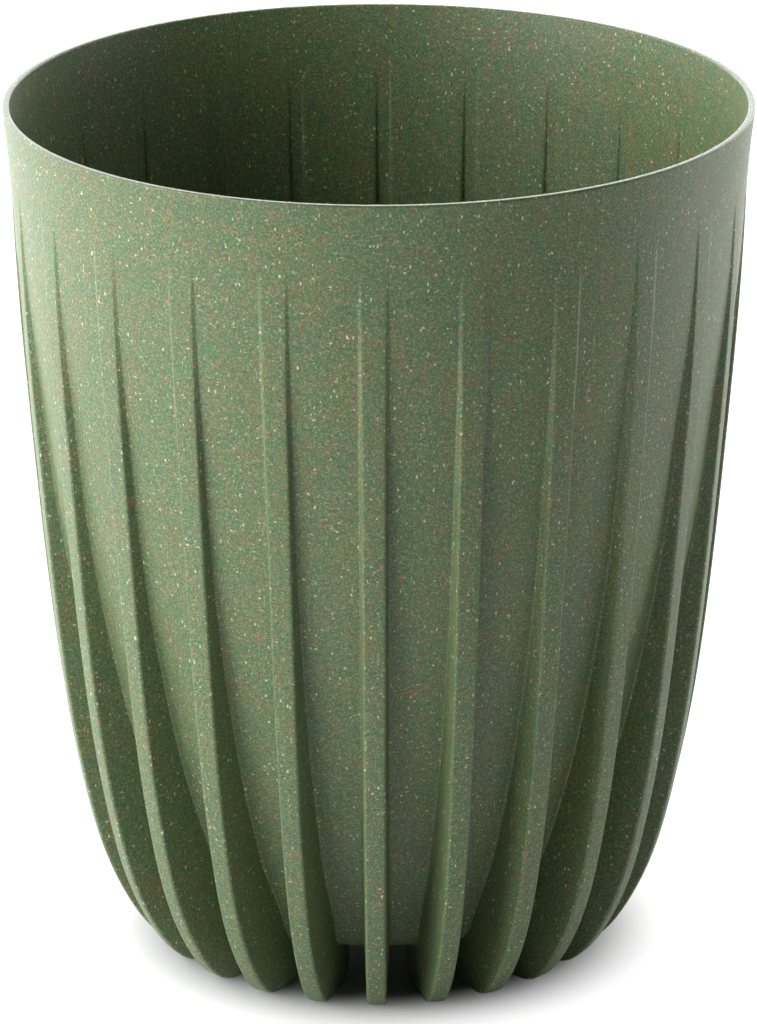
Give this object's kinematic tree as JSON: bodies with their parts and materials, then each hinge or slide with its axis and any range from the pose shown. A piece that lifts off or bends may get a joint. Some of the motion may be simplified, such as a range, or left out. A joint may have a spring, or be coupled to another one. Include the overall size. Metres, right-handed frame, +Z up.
{
  "type": "ribbed flower bucket",
  "caption": "Round ribbed flower bucket: thin moulded wall folded into hollow ribs that run down a tulip-shaped body and end as feet under a raised floor.",
  "frame": {"origin": "centre of the ground plane that the feet stand on", "axes": "+Z up along the bucket's axis, -Y towards the front rib"},
  "size_m": [0.1898, 0.1898, 0.225],
  "materials": {
    "moulding": "satin sage green composite with fine cream and tan flecks"
  },
  "bodies": {
    "root": {"rim": "moulding", "upper_band": "moulding", "wall_staves": "moulding", "ribs": "moulding", "feet": "moulding", "floor_plate": "moulding"}
  },
  "joints": []
}
